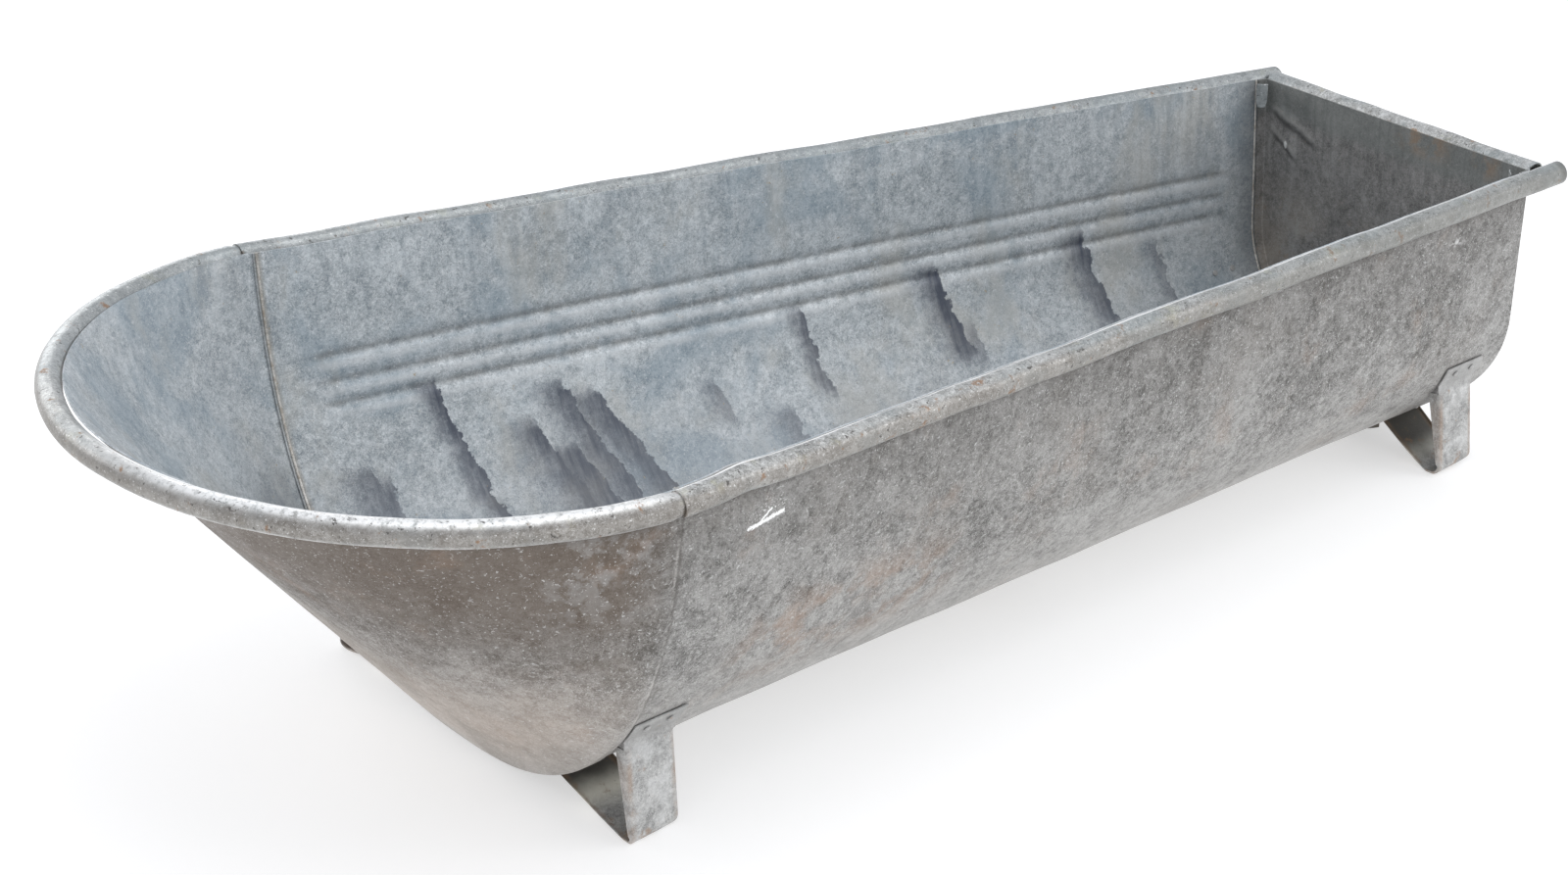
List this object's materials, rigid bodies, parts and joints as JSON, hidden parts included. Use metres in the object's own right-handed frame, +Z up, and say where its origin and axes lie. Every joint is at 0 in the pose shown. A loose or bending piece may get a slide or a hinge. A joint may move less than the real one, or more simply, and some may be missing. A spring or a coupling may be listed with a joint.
{
  "type": "livestock water trough",
  "caption": "Galvanised sheet trough with one sloping round end, one flat end, a round tube rim and folded strap feet.",
  "frame": {"origin": "on the floor, under the middle of the overall length and width", "axes": "+X from the round end to the flat end, +Z up, -Y the near side"},
  "size_m": [1.594, 0.698, 0.4024],
  "materials": {
    "zinc_sheet": "weathered galvanised sheet, mottled blue-grey",
    "zinc_rim": "weathered galvanised tube, rubbed lighter along the top",
    "foot_strap": "weathered galvanised strap with rusty edges",
    "solder": "dull solder"
  },
  "bodies": {
    "root": {"body_sheet": "zinc_sheet", "nose_sheet": "zinc_sheet", "end_sheet": "zinc_sheet", "near_corner_tab": "zinc_sheet", "far_corner_tab": "zinc_sheet", "nose_seam_bead": "solder", "end_seam_bead": "solder", "nose_rim_tube": "zinc_rim", "near_rim_tube": "zinc_rim", "far_rim_tube": "zinc_rim", "end_rim_tube": "zinc_rim", "nose_foot_cradle": "foot_strap", "nose_foot_near_leg": "foot_strap", "nose_foot_far_leg": "foot_strap", "nose_foot_near_rivet_1": "foot_strap", "nose_foot_near_rivet_2": "foot_strap", "nose_foot_far_rivet_1": "foot_strap", "nose_foot_far_rivet_2": "foot_strap", "end_foot_cradle": "foot_strap", "end_foot_near_leg": "foot_strap", "end_foot_far_leg": "foot_strap", "end_foot_near_rivet_1": "foot_strap", "end_foot_near_rivet_2": "foot_strap", "end_foot_far_rivet_1": "foot_strap", "end_foot_far_rivet_2": "foot_strap"}
  },
  "joints": []
}
